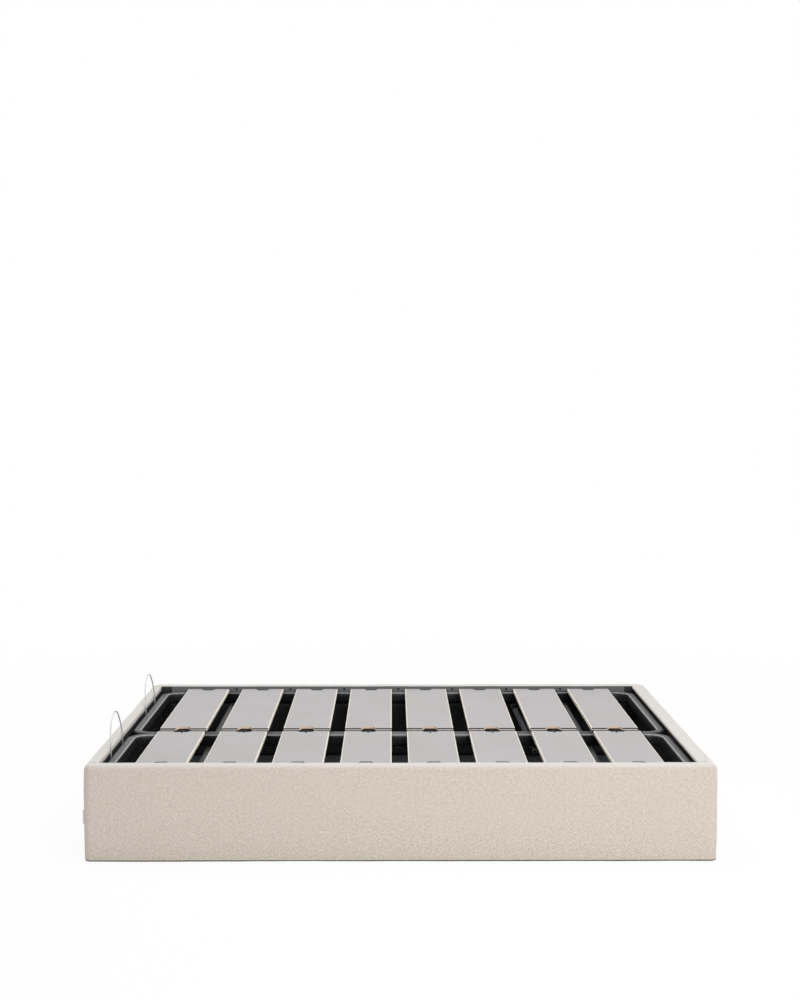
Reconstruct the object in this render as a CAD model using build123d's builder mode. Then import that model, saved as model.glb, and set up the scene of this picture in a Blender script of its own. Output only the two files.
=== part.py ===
from build123d import *
import math
import os

# Ottoman storage bed base, in millimetres. X runs from the foot to the head, Y from the near side
# to the far side, Z up. The origin lies on the floor, under the middle of the base.

# Base box
bed_length = 1980
bed_width = 1480
bed_height = 306
board_thickness = 18
pad_thickness = 18
skin_thickness = 2
top_pad = 14
corner_radius = 22
rim_outer_radius = 16
rim_inner_radius = 5
hem_radius = 6
skin_depth = 70

# Feet and storage floor
glide_size = 30
glide_height = 5
glide_end_inset = 80
cleat_width = 20
cleat_height = 15
cleat_gap = 4
floor_thickness = 4
floor_beam_width = 60
floor_panel_gap = 1

# Platform frame, a near and a far half bolted side by side
end_clearance = 12
side_clearance = 12
near_frame_width = 548
frame_joint_gap = 3
rail_width = 30
rail_height = 40
tube_wall = 1.5
bow_outer_radius = 75
bow_leg = 90
tube_edge_chamfer = 2
crossbar_width = 40
crossbar_height = 20
crossbar_end_inset = 2
joint_plate_length = 80
joint_plate_thickness = 3
joint_plate_count = 3

# Slats and their clips
slat_count = 8
slat_width = 163
slat_frame_margin = 100.75
slat_thickness = 12
slat_rim_drop = 8
slat_outer_inset = 12
slat_joint_inset = 24
slat_edge_chamfer = 1.5
notch_width = 54
notch_depth = 30
notch_angle = 72
clip_clearance = 2
clip_height = 5
clip_edge_inset = 2
tongue_width = 76
tongue_reach = 14
tongue_thickness = 4
tongue_gap = 0.5

# Mattress hoops at the foot end
hoop_wire = 5
hoop_wire_sides = 8
hoop_radius = 112
hoop_offset = 374
hoop_leg_depth = 46
socket_width = 14
socket_height = 20
socket_wall_gap = 2
socket_play = 0.1

# Lift hinges
lift_angle = 40
pivot_head_offset = 240
pivot_drop = 16
pivot_radius = 5
pivot_head_radius = 9
pivot_head_sides = 6
pivot_head_thickness = 6
pivot_collar_radius = 9
running_play = 0.05
axial_play = 0.3
hinge_plate_thickness = 4
lever_thickness = 5
pivot_boss_radius = 24
lever_pivot_radius = 20
lever_strut_radius = 15
lever_end_radius = 8
lever_end_reach = 90
lever_foot_reach = 30
lever_window_height = 14
plate_corner_radius = 18
plate_heel_reach = 60
plate_screw_radius = 3
plate_screw_ring = 10

# Gas struts
strut_arm = 240
strut_fall = 184
strut_inset = 26
strut_pin_radius = 4
strut_shoulder_radius = 6
strut_nut_radius = 7
strut_nut_sides = 6
strut_nut_thickness = 4
eye_radius = 9
eye_thickness = 12
strut_neck_radius = 5
strut_neck = 14
strut_tube_radius = 11
strut_tube_wall = 1.5
strut_tube_length = 166
strut_gland_length = 12
strut_end_wall = 4
rod_radius = 5
rod_play = 0.3
piston_length = 8

# Platform rests
ledge_leg = 25
ledge_thickness = 3
ledge_end_gap = 102
rest_pad_height = 4
rest_pad_length = 30
foot_pad_count = 4
foot_pad_end_inset = 45
side_rest_length = 60
side_rest_offset = 300
side_rest_leg = 28
wall_bar_top_gap = 2
wall_bar_bottom_gap = 3
wall_bar_end_gap = 4

# Corner brackets and side tab
bracket_leg = 40
bracket_thickness = 3
bracket_height = 228
bracket_base = 60
tab_reach = 6
tab_thickness = 2.4
tab_height = 48
tab_base = 118
tab_front_inset = 38
tab_radius = 5

# Sizes that follow
wall = pad_thickness + board_thickness + skin_thickness
inner_length = bed_length - 2 * wall
inner_width = bed_width - 2 * wall
board_outer_length = bed_length - 2 * pad_thickness
board_outer_width = bed_width - 2 * pad_thickness
board_inner_length = board_outer_length - 2 * board_thickness
board_inner_width = board_outer_width - 2 * board_thickness
board_top = bed_height - top_pad
skin_bottom = bed_height - skin_depth
floor_base = glide_height + cleat_height
floor_top = floor_base + floor_thickness

frame_length = inner_length - 2 * end_clearance
frame_width = inner_width - 2 * side_clearance
far_frame_width = frame_width - near_frame_width - frame_joint_gap
slat_top = bed_height - slat_rim_drop
rail_top = slat_top - slat_thickness
rail_base = rail_top - rail_height
near_frame_start = -frame_width / 2
far_frame_start = near_frame_start + near_frame_width + frame_joint_gap
slat_pitch = (frame_length - 2 * slat_frame_margin - slat_width) / (slat_count - 1)
crossbar_offset = slat_pitch * (slat_count / 2 - 1)
ledge_length = inner_width - 2 * ledge_end_gap
foot_pad_pitch = (ledge_length - 2 * foot_pad_end_inset - rest_pad_length) / (foot_pad_count - 1)
hoop_x = -inner_length / 2 + end_clearance / 2

pivot_x = frame_length / 2 - pivot_head_offset
pivot_z = rail_base - pivot_drop
strut_anchor_height = pivot_z - strut_fall
anchor_angle = math.asin(strut_fall / strut_arm)
anchor_x = pivot_x - strut_arm * math.cos(anchor_angle)
clevis_x = pivot_x - strut_arm
closed_length = 2 * strut_arm * math.sin(anchor_angle / 2)
open_length = 2 * strut_arm * math.sin((anchor_angle + math.radians(lift_angle)) / 2)
rod_reach = closed_length - strut_neck - strut_end_wall - axial_play
plate_y = inner_width / 2
plate_inner_y = plate_y - hinge_plate_thickness
lever_inner_y = frame_width / 2
lever_outer_y = lever_inner_y + lever_thickness
strut_y = plate_y - strut_inset
eye_outer_y = strut_y + eye_thickness / 2
eye_inner_y = strut_y - eye_thickness / 2
strut_bore = strut_tube_radius - strut_tube_wall

os.makedirs("parts", exist_ok=True)


def save(piece, name):
    piece.part.label = name
    export_step(piece.part, f"parts/{name}.step")


# Side and end boards
for name, side in (("board_near", -1), ("board_far", 1)):
    with BuildPart() as board:
        with BuildSketch(Plane.XY.offset(glide_height)):
            with Locations((0, side * (board_outer_width - board_thickness) / 2)):
                Rectangle(board_outer_length, board_thickness)
        extrude(amount=board_top - glide_height)
    save(board, name)

for name, side in (("board_foot", -1), ("board_head", 1)):
    with BuildPart() as board:
        with BuildSketch(Plane.XY.offset(glide_height)):
            with Locations((side * (board_outer_length - board_thickness) / 2, 0)):
                Rectangle(board_thickness, board_inner_width)
        extrude(amount=board_top - glide_height)
    save(board, name)

# Padded covers, drawn over the boards and mitred at the corners
with BuildPart() as cover_ring:
    with BuildSketch(Plane.XY.offset(glide_height)):
        RectangleRounded(bed_length, bed_width, corner_radius)
        Rectangle(inner_length, inner_width, mode=Mode.SUBTRACT)
    extrude(amount=bed_height - glide_height)
    rim = cover_ring.faces().sort_by(Axis.Z)[-1]
    hem = cover_ring.faces().sort_by(Axis.Z)[0]
    hem_edges = hem.outer_wire().edges()
    inner_rim_edges = rim.inner_wires()[0].edges()
    fillet(rim.outer_wire().edges(), rim_outer_radius)
    fillet(hem_edges, hem_radius)
    fillet(inner_rim_edges, rim_inner_radius)
    with BuildSketch(Plane.XY.offset(glide_height)):
        Rectangle(board_outer_length, board_outer_width)
    extrude(amount=skin_bottom - glide_height, mode=Mode.SUBTRACT)
    with BuildSketch(Plane.XY.offset(skin_bottom)):
        Rectangle(board_outer_length, board_outer_width)
        Rectangle(board_inner_length, board_inner_width, mode=Mode.SUBTRACT)
    extrude(amount=board_top - skin_bottom, mode=Mode.SUBTRACT)

half_length = bed_length / 2
half_width = bed_width / 2
mitre = 2 * wall
long_strip = ((-half_length, -half_width), (half_length, -half_width),
              (half_length - mitre, -half_width + mitre), (-half_length + mitre, -half_width + mitre))
short_strip = ((-half_length, -half_width), (-half_length, half_width),
               (-half_length + mitre, half_width - mitre), (-half_length + mitre, -half_width + mitre))
for name, strip, turn in (("cover_near", long_strip, 0), ("cover_far", long_strip, 180),
                          ("cover_foot", short_strip, 0), ("cover_head", short_strip, 180)):
    with BuildPart() as cover:
        add(cover_ring.part)
        with BuildSketch():
            Polygon(*strip, align=None, rotation=turn)
        extrude(amount=bed_height, mode=Mode.INTERSECT)
    save(cover, name)

# Black liner behind the storage space
with BuildPart() as liner:
    with BuildSketch(Plane.XY.offset(floor_top)):
        Rectangle(board_inner_length, board_inner_width)
        Rectangle(inner_length, inner_width, mode=Mode.SUBTRACT)
    extrude(amount=skin_bottom - floor_top)
save(liner, "liner")

# Storage floor, its cleats and centre beam
with BuildPart() as floor_cleats:
    with BuildSketch(Plane.XY.offset(glide_height)):
        with GridLocations(0, board_inner_width - cleat_width, 1, 2):
            Rectangle(board_inner_length, cleat_width)
    extrude(amount=cleat_height)
    with BuildSketch(Plane.XY.offset(glide_height)):
        for side in (-1, 1):
            end_x = side * (board_inner_length - cleat_width) / 2
            end_run = (board_inner_width - floor_beam_width) / 2 - cleat_width - cleat_gap
            with Locations((end_x, 0)):
                with GridLocations(0, end_run + floor_beam_width, 1, 2):
                    Rectangle(cleat_width, end_run)
    extrude(amount=cleat_height, mode=Mode.ADD)
save(floor_cleats, "floor_cleats")

with BuildPart() as floor_beam:
    with BuildSketch(Plane.XY.offset(glide_height)):
        Rectangle(board_inner_length, floor_beam_width)
    extrude(amount=cleat_height)
save(floor_beam, "floor_beam")

panel_width = (board_inner_width - floor_panel_gap) / 2
for name, side in (("floor_panel_near", -1), ("floor_panel_far", 1)):
    with BuildPart() as floor_panel:
        with BuildSketch(Plane.XY.offset(floor_base)):
            with Locations((0, side * (panel_width + floor_panel_gap) / 2)):
                Rectangle(board_inner_length, panel_width)
        extrude(amount=floor_thickness)
    save(floor_panel, name)

# Glides under the boards and the centre beam
glide_pitch_x = board_outer_length / 2 - glide_end_inset
glide_pitch_y = (board_outer_width - board_thickness) / 2
with BuildPart() as glides:
    with BuildSketch():
        with GridLocations(glide_pitch_x, glide_pitch_y, 3, 3):
            Rectangle(glide_size, glide_size)
    extrude(amount=glide_height)
save(glides, "glides")

# Steel brackets in the corners of the box
with BuildPart() as corner_brackets:
    with BuildSketch(Plane.XY.offset(bracket_base)):
        for side_x in (-1, 1):
            for side_y in (-1, 1):
                corner_x = side_x * inner_length / 2
                corner_y = side_y * inner_width / 2
                with Locations((corner_x - side_x * bracket_leg / 2,
                                corner_y - side_y * bracket_thickness / 2)):
                    Rectangle(bracket_leg, bracket_thickness)
                with Locations((corner_x - side_x * bracket_thickness / 2,
                                corner_y - side_y * bracket_leg / 2)):
                    Rectangle(bracket_thickness, bracket_leg)
    extrude(amount=bracket_height)
save(corner_brackets, "corner_brackets")

# Fabric tab sewn into the foot end
with BuildPart() as side_tab:
    with BuildSketch(Plane.XZ.offset(half_width - tab_front_inset)):
        with Locations((-half_length, tab_base + tab_height / 2)):
            RectangleRounded(2 * tab_reach, tab_height, tab_radius)
        with Locations((-half_length + tab_reach / 2, tab_base + tab_height / 2)):
            Rectangle(tab_reach, tab_height, mode=Mode.SUBTRACT)
    extrude(amount=-tab_thickness)
save(side_tab, "side_tab")

# Ledge at the foot, wall bars with a rest on each side, and rubber pads that carry the closed platform
ledge_top = rail_base - rest_pad_height
with BuildPart() as foot_ledge:
    with BuildSketch(Plane.XZ.offset(-ledge_length / 2)):
        with Locations((-inner_length / 2 + ledge_leg / 2, ledge_top - ledge_thickness / 2)):
            Rectangle(ledge_leg, ledge_thickness)
        with Locations((-inner_length / 2 + ledge_thickness / 2, ledge_top - ledge_leg / 2)):
            Rectangle(ledge_thickness, ledge_leg)
    extrude(amount=ledge_length)
save(foot_ledge, "foot_ledge")

wall_bar_top = bed_height - wall_bar_top_gap
wall_bar_bottom = pivot_z + pivot_boss_radius + wall_bar_bottom_gap
wall_bar_length = inner_length - 2 * (bracket_leg + wall_bar_end_gap)
with BuildPart() as side_rests:
    with BuildSketch(Plane.YZ.offset(-side_rest_offset - side_rest_length / 2)):
        for side in (-1, 1):
            with Locations((side * (inner_width - side_rest_leg) / 2, ledge_top - ledge_thickness / 2)):
                Rectangle(side_rest_leg, ledge_thickness)
            with Locations((side * (inner_width - ledge_thickness) / 2, wall_bar_bottom - side_rest_leg)):
                Rectangle(ledge_thickness, 2 * side_rest_leg)
    extrude(amount=side_rest_length)
    with BuildSketch(Plane.XY.offset(wall_bar_bottom)):
        with GridLocations(0, inner_width - ledge_thickness, 1, 2):
            Rectangle(wall_bar_length, ledge_thickness)
    extrude(amount=wall_bar_top - wall_bar_bottom)
save(side_rests, "side_rests")

foot_pad_width = ledge_leg - end_clearance
side_pad_width = side_rest_leg - side_clearance
with BuildPart() as rest_pads:
    with BuildSketch(Plane.XY.offset(ledge_top)):
        with Locations((-frame_length / 2 + foot_pad_width / 2, 0)):
            with GridLocations(0, foot_pad_pitch, 1, foot_pad_count):
                Rectangle(foot_pad_width, rest_pad_length)
        with Locations((-side_rest_offset, 0)):
            with GridLocations(0, frame_width - side_pad_width, 1, 2):
                Rectangle(rest_pad_length, side_pad_width)
    extrude(amount=rest_pad_height)
save(rest_pads, "rest_pads")

# Half-frames of bent rectangular tube, each parted into two rails and two end bows
for half, start, width in (("near", near_frame_start, near_frame_width),
                           ("far", far_frame_start, far_frame_width)):
    middle = start + width / 2
    with BuildPart() as half_frame:
        with BuildSketch(Plane.XY.offset(rail_base)):
            with Locations((0, middle)):
                RectangleRounded(frame_length, width, bow_outer_radius)
                RectangleRounded(frame_length - 2 * rail_width, width - 2 * rail_width,
                                 bow_outer_radius - rail_width, mode=Mode.SUBTRACT)
        extrude(amount=rail_height)
        tube_edges = half_frame.edges().group_by(Axis.Z)
        chamfer(tube_edges[-1] + tube_edges[0], tube_edge_chamfer)
        with BuildSketch(Plane.XY.offset(rail_base + tube_wall)):
            with Locations((0, middle)):
                RectangleRounded(frame_length - 2 * tube_wall, width - 2 * tube_wall,
                                 bow_outer_radius - tube_wall)
                RectangleRounded(frame_length - 2 * (rail_width - tube_wall),
                                 width - 2 * (rail_width - tube_wall),
                                 bow_outer_radius - rail_width + tube_wall, mode=Mode.SUBTRACT)
        extrude(amount=rail_height - 2 * tube_wall, mode=Mode.SUBTRACT)
    rail_run = frame_length - 2 * bow_leg
    for name, centre_y in ((f"rail_{half}_front", start + rail_width / 2),
                           (f"rail_{half}_back", start + width - rail_width / 2)):
        with BuildPart() as rail:
            add(half_frame.part)
            with BuildSketch(Plane.XY.offset(rail_base)):
                with Locations((0, centre_y)):
                    Rectangle(rail_run, rail_width)
            extrude(amount=rail_height, mode=Mode.INTERSECT)
        save(rail, name)
    for name, side in ((f"bow_{half}_foot", -1), (f"bow_{half}_head", 1)):
        with BuildPart() as bow:
            add(half_frame.part)
            with BuildSketch(Plane.XY.offset(rail_base)):
                with Locations((side * (frame_length - bow_leg) / 2, middle)):
                    Rectangle(bow_leg, width)
            extrude(amount=rail_height, mode=Mode.INTERSECT)
        save(bow, name)

# Crossbars and joint plates that tie the two half-frames
for name, side in (("crossbar_foot", -1), ("crossbar_head", 1)):
    with BuildPart() as crossbar:
        with BuildSketch(Plane.XZ.offset(-frame_width / 2 + crossbar_end_inset)) as bar_section:
            with Locations((side * crossbar_offset, rail_base - crossbar_height / 2)):
                Rectangle(crossbar_width, crossbar_height)
            chamfer(bar_section.vertices(), tube_edge_chamfer)
            with Locations((side * crossbar_offset, rail_base - crossbar_height / 2)):
                Rectangle(crossbar_width - 2 * tube_wall, crossbar_height - 2 * tube_wall,
                          mode=Mode.SUBTRACT)
        extrude(amount=frame_width - 2 * crossbar_end_inset)
    save(crossbar, name)

joint_y = far_frame_start - frame_joint_gap / 2
with BuildPart() as joint_plates:
    with BuildSketch(Plane.XY.offset(rail_base - joint_plate_thickness)):
        with Locations((0, joint_y)):
            with GridLocations(2 * slat_pitch, 0, joint_plate_count, 1):
                Rectangle(joint_plate_length, 2 * rail_width)
    extrude(amount=joint_plate_thickness)
save(joint_plates, "joint_plates")

# Slats with a notch at each end, and the clips that are screwed to the rails there. A clip fills
# the foot of the notch and reaches under the slat with a tongue. The slats stop short of the joint.
for half, start, width, near_inset, far_inset in (
        ("near", near_frame_start, near_frame_width, slat_outer_inset, slat_joint_inset),
        ("far", far_frame_start, far_frame_width, slat_joint_inset, slat_outer_inset)):
    slat_length = width - near_inset - far_inset
    middle = start + near_inset + slat_length / 2
    for number in range(slat_count):
        slat_x = slat_pitch * (number - (slat_count - 1) / 2)
        with BuildPart() as slat:
            with BuildSketch(Plane.XY.offset(rail_top)):
                with Locations((slat_x, middle)):
                    Rectangle(slat_width, slat_length)
                with Locations(Location((slat_x, middle - slat_length / 2, 0)),
                               Location((slat_x, middle + slat_length / 2, 0), (0, 0, 180))):
                    Trapezoid(notch_width, notch_depth, notch_angle, align=(Align.CENTER, Align.MIN),
                              mode=Mode.SUBTRACT)
            extrude(amount=slat_thickness)
            chamfer(slat.edges().filter_by(Axis.Y).group_by(Axis.Z)[-1], slat_edge_chamfer)
        save(slat, f"slat_{half}_{number + 1}")
    clip_width = notch_width - 2 * clip_clearance
    with BuildPart() as clips:
        for outward, end_y, edge_y in ((-1, start + near_inset, start),
                                       (1, start + width - far_inset, start + width)):
            tab_y = edge_y - outward * clip_edge_inset
            rail_face_y = edge_y - outward * (rail_width + tongue_gap)
            tongue_end_y = end_y - outward * (notch_depth + tongue_reach)
            turn = 0 if outward < 0 else 180
            with BuildSketch(Plane.XY.offset(rail_top)):
                with Locations((0, (tab_y + end_y) / 2)):
                    with GridLocations(slat_pitch, 0, slat_count, 1):
                        Rectangle(clip_width, abs(tab_y - end_y))
                with Locations(Location((0, end_y, 0), (0, 0, turn))):
                    with GridLocations(slat_pitch, 0, slat_count, 1):
                        Trapezoid(clip_width, notch_depth - clip_clearance, notch_angle,
                                  align=(Align.CENTER, Align.MIN))
            extrude(amount=clip_height)
            with BuildSketch(Plane.XY.offset(rail_top)):
                with Locations((0, (rail_face_y + tongue_end_y) / 2)):
                    with GridLocations(slat_pitch, 0, slat_count, 1):
                        Rectangle(tongue_width, abs(rail_face_y - tongue_end_y))
            extrude(amount=-tongue_thickness)
    save(clips, f"slat_clips_{half}")

# Wire hoops that hold the mattress, their wire drawn eight-sided, and their sockets on the end bows
hoop_foot = slat_top - hoop_leg_depth
for name, side in (("hoop_near", -1), ("hoop_far", 1)):
    hoop_middle = side * hoop_offset
    with BuildPart() as hoop:
        with BuildSketch(Plane.XY.offset(slat_top)):
            with Locations((hoop_x, hoop_middle - hoop_radius)):
                RegularPolygon(hoop_wire / 2, hoop_wire_sides, rotation=180 / hoop_wire_sides)
        revolve(axis=Axis((hoop_x, hoop_middle, slat_top), (-1, 0, 0)), revolution_arc=180)
        with BuildSketch(Plane.XY.offset(slat_top)):
            with Locations((hoop_x, hoop_middle)):
                with GridLocations(0, 2 * hoop_radius, 1, 2):
                    RegularPolygon(hoop_wire / 2, hoop_wire_sides, rotation=180 / hoop_wire_sides)
        extrude(amount=-hoop_leg_depth)
    save(hoop, name)

socket_reach = end_clearance - socket_wall_gap
with BuildPart() as hoop_sockets:
    with BuildSketch(Plane.XY.offset(hoop_foot)):
        for side in (-1, 1):
            with Locations((-frame_length / 2 - socket_reach / 2, side * hoop_offset)):
                with GridLocations(0, 2 * hoop_radius, 1, 2):
                    Rectangle(socket_reach, socket_width)
            with Locations((hoop_x, side * hoop_offset)):
                with GridLocations(0, 2 * hoop_radius, 1, 2):
                    RegularPolygon(hoop_wire / 2 + socket_play, hoop_wire_sides,
                                   rotation=180 / hoop_wire_sides, mode=Mode.SUBTRACT)
    extrude(amount=socket_height)
save(hoop_sockets, "hoop_sockets")


# Hinge plates on the side boards, each with the stud for its strut. A stud has a shoulder, a pin
# that the strut's eye turns on, and a nut.
plate_screw_places = ((pivot_x + plate_heel_reach, strut_anchor_height),
                      (anchor_x + 2 * plate_corner_radius, strut_anchor_height),
                      (pivot_x, pivot_z - pivot_boss_radius - plate_screw_ring))
for end, side in (("near", 1), ("far", -1)):
    with BuildPart() as hinge_plate:
        with BuildSketch(Plane.XZ.offset(side * plate_inner_y)):
            with Locations((pivot_x, pivot_z)):
                Circle(pivot_boss_radius)
            with Locations((anchor_x, strut_anchor_height),
                           (pivot_x + plate_heel_reach, strut_anchor_height)):
                Circle(plate_corner_radius)
            make_hull()
            with Locations(*plate_screw_places):
                Circle(plate_screw_radius, mode=Mode.SUBTRACT)
        extrude(amount=side * hinge_plate_thickness)
        for start, run, radius in (
                (plate_inner_y, plate_inner_y - eye_outer_y - axial_play, strut_shoulder_radius),
                (eye_outer_y + axial_play, eye_thickness + 2 * axial_play, strut_pin_radius)):
            with BuildSketch(Plane.XZ.offset(side * start)):
                with Locations((anchor_x, strut_anchor_height)):
                    Circle(radius)
            extrude(amount=-side * run)
        with BuildSketch(Plane.XZ.offset(side * (eye_inner_y - axial_play))):
            with Locations((anchor_x, strut_anchor_height)):
                RegularPolygon(strut_nut_radius, strut_nut_sides)
        extrude(amount=-side * strut_nut_thickness)
    save(hinge_plate, f"hinge_plate_{end}")

# Pivot bolts, each with the collar that spaces its lever off the plate
with BuildPart() as pivot_bolts:
    for side in (1, -1):
        for start, run, radius in (
                (plate_inner_y, plate_inner_y - lever_outer_y - axial_play, pivot_collar_radius),
                (lever_outer_y + axial_play, lever_thickness + 2 * axial_play, pivot_radius)):
            with BuildSketch(Plane.XZ.offset(side * start)):
                with Locations((pivot_x, pivot_z)):
                    Circle(radius)
            extrude(amount=-side * run)
        with BuildSketch(Plane.XZ.offset(side * (lever_inner_y - axial_play))):
            with Locations((pivot_x, pivot_z)):
                RegularPolygon(pivot_head_radius, pivot_head_sides)
        extrude(amount=-side * pivot_head_thickness)
save(pivot_bolts, "pivot_bolts")

# Levers bolted to the side rails, which turn on the pivot bolts and carry the strut tops
window_z = (rail_base + pivot_z) / 2
for end, side in (("near", 1), ("far", -1)):
    with BuildPart() as lever:
        with BuildSketch(Plane.XZ.offset(side * lever_inner_y)):
            with Locations((pivot_x, pivot_z)):
                Circle(lever_pivot_radius)
            with Locations((clevis_x, pivot_z)):
                Circle(lever_strut_radius)
            with Locations((pivot_x + lever_end_reach, rail_top - lever_end_radius),
                           (clevis_x - lever_foot_reach, rail_top - lever_end_radius)):
                Circle(lever_end_radius)
            make_hull()
            with Locations((pivot_x, pivot_z)):
                Circle(pivot_radius + running_play, mode=Mode.SUBTRACT)
            with Locations(((pivot_x + clevis_x) / 2, window_z)):
                SlotCenterToCenter(strut_arm / 2, lever_window_height, mode=Mode.SUBTRACT)
        extrude(amount=side * lever_thickness)
        for start, run, radius in (
                (lever_inner_y, lever_inner_y - eye_outer_y - axial_play, strut_shoulder_radius),
                (eye_outer_y + axial_play, eye_thickness + 2 * axial_play, strut_pin_radius)):
            with BuildSketch(Plane.XZ.offset(side * start)):
                with Locations((clevis_x, pivot_z)):
                    Circle(radius)
            extrude(amount=-side * run)
        with BuildSketch(Plane.XZ.offset(side * (eye_inner_y - axial_play))):
            with Locations((clevis_x, pivot_z)):
                RegularPolygon(strut_nut_radius, strut_nut_sides)
        extrude(amount=-side * strut_nut_thickness)
    save(lever, f"lever_{end}")

# Gas struts, shown closed. The tube hangs from the lever, and the rod stands on the hinge plate.
strut_run = Vector(anchor_x - clevis_x, 0, strut_anchor_height - pivot_z).normalized()


def strut_plane(eye, direction, distance):
    """A plane square to the strut, at a distance from one of its eyes."""
    return Plane(origin=eye + direction * distance, x_dir=(0, 1, 0), z_dir=direction)


for end, side in (("near", 1), ("far", -1)):
    top_eye = Vector(clevis_x, -side * strut_y, pivot_z)
    with BuildPart() as strut_tube:
        with BuildSketch(strut_plane(top_eye, strut_run, 0)):
            Circle(strut_neck_radius)
        extrude(amount=strut_neck)
        with BuildSketch(Plane.XZ.offset(side * eye_outer_y)):
            with Locations((clevis_x, pivot_z)):
                Circle(eye_radius)
        extrude(amount=-side * eye_thickness)
        with BuildSketch(Plane.XZ.offset(side * eye_outer_y)):
            with Locations((clevis_x, pivot_z)):
                Circle(strut_pin_radius + running_play)
        extrude(amount=-side * eye_thickness, mode=Mode.SUBTRACT)
        with BuildSketch(strut_plane(top_eye, strut_run, strut_neck)):
            Circle(strut_tube_radius)
        extrude(amount=strut_tube_length)
        with BuildSketch(strut_plane(top_eye, strut_run, strut_neck + strut_end_wall)):
            Circle(strut_bore)
        extrude(amount=strut_tube_length - strut_end_wall - strut_gland_length, mode=Mode.SUBTRACT)
        with BuildSketch(strut_plane(top_eye, strut_run, strut_neck + strut_tube_length)):
            Circle(rod_radius + rod_play)
        extrude(amount=-strut_gland_length, mode=Mode.SUBTRACT)
    save(strut_tube, f"strut_tube_{end}")

    foot_eye = Vector(anchor_x, -side * strut_y, strut_anchor_height)
    with BuildPart() as strut_rod:
        with BuildSketch(strut_plane(foot_eye, -strut_run, 0)):
            Circle(rod_radius)
        extrude(amount=rod_reach)
        with BuildSketch(Plane.XZ.offset(side * eye_outer_y)):
            with Locations((anchor_x, strut_anchor_height)):
                Circle(eye_radius)
        extrude(amount=-side * eye_thickness)
        with BuildSketch(Plane.XZ.offset(side * eye_outer_y)):
            with Locations((anchor_x, strut_anchor_height)):
                Circle(strut_pin_radius + running_play)
        extrude(amount=-side * eye_thickness, mode=Mode.SUBTRACT)
        with BuildSketch(strut_plane(foot_eye, -strut_run, rod_reach)):
            Circle(strut_bore - rod_play)
        extrude(amount=-piston_length)
    save(strut_rod, f"strut_rod_{end}")

piston_hold = strut_neck + strut_tube_length - strut_gland_length - (open_length - rod_reach)
print(f"strut closed {closed_length:.1f}, open {open_length:.1f}, rod {rod_reach:.1f}")
print(f"piston left inside the tube when open {piston_hold:.1f}")
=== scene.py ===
import math

import bmesh
import bpy
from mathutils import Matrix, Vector, noise


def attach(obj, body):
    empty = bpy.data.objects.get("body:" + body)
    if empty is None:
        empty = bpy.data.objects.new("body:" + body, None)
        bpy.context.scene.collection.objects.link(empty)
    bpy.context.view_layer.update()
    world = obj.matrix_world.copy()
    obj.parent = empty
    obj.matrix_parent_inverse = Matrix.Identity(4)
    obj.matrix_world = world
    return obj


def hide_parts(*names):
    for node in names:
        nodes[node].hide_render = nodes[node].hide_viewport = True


# Ottoman storage bed base, dressed for the studio. Lengths are metres, and MM turns millimetres into them.
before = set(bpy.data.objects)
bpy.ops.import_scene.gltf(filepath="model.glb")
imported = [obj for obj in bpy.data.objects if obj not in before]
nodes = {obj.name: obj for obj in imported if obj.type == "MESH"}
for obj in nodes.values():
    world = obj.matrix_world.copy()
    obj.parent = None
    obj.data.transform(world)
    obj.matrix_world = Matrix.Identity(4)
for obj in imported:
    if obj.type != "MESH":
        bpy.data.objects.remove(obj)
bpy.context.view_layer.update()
MM = 0.001

# Camera
# It stands at the photograph's viewpoint: 5 m before the near side at standing height, aimed a little
# down and a little to the head end. The lens is for the photograph's tall frame.
viewpoint, tilt_down, turn_right, lens = (-0.025, -5.722, 1.417), 3.234, 0.283, 58.05
camera = bpy.data.objects.new("camera", bpy.data.cameras.new("camera"))
bpy.context.scene.collection.objects.link(camera)
camera.location = viewpoint
camera.rotation_euler = (math.radians(90 - tilt_down), 0, math.radians(-turn_right))
camera.data.lens = lens
bpy.context.scene.camera = camera
bpy.context.scene.view_settings.view_transform = "Standard"

# Studio
# A pale matt floor, one broad soft lamp before and above the near side, one over the top, and a
# pale room. The floor is paler to the eye than to the light, so that only the shadow under the base shows.


def linear(text):
    """An sRGB hex colour as linear red, green, blue and alpha."""
    parts = [int(text[i:i + 2], 16) / 255 for i in (0, 2, 4)]
    return tuple(c / 12.92 if c <= 0.04045 else ((c + 0.055) / 1.055) ** 2.4 for c in parts) + (1.0,)


def add(tree, kind, inputs=None, **settings):
    """Adds one node. inputs maps a socket to a value or to another node's output."""
    node = tree.nodes.new(kind)
    for name, value in settings.items():
        setattr(node, name, value)
    for socket, value in (inputs or {}).items():
        if isinstance(value, bpy.types.NodeSocket):
            tree.links.new(value, node.inputs[socket])
        else:
            node.inputs[socket].default_value = value
    return node


def new_material(name):
    """An empty node material and its tree."""
    material = bpy.data.materials.new(name)
    material.use_nodes = True
    material.node_tree.nodes.clear()
    return material, material.node_tree


def eye_rays(tree):
    """1 for what the camera sees, straight or in a reflection or through glass, and 0 for light."""
    path = add(tree, "ShaderNodeLightPath")
    seen = add(tree, "ShaderNodeMath", {0: path.outputs["Is Camera Ray"], 1: path.outputs["Is Glossy Ray"]},
               operation="MAXIMUM")
    return add(tree, "ShaderNodeMath", {0: seen.outputs[0], 1: path.outputs["Is Transmission Ray"]},
               operation="MAXIMUM").outputs[0]


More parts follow.
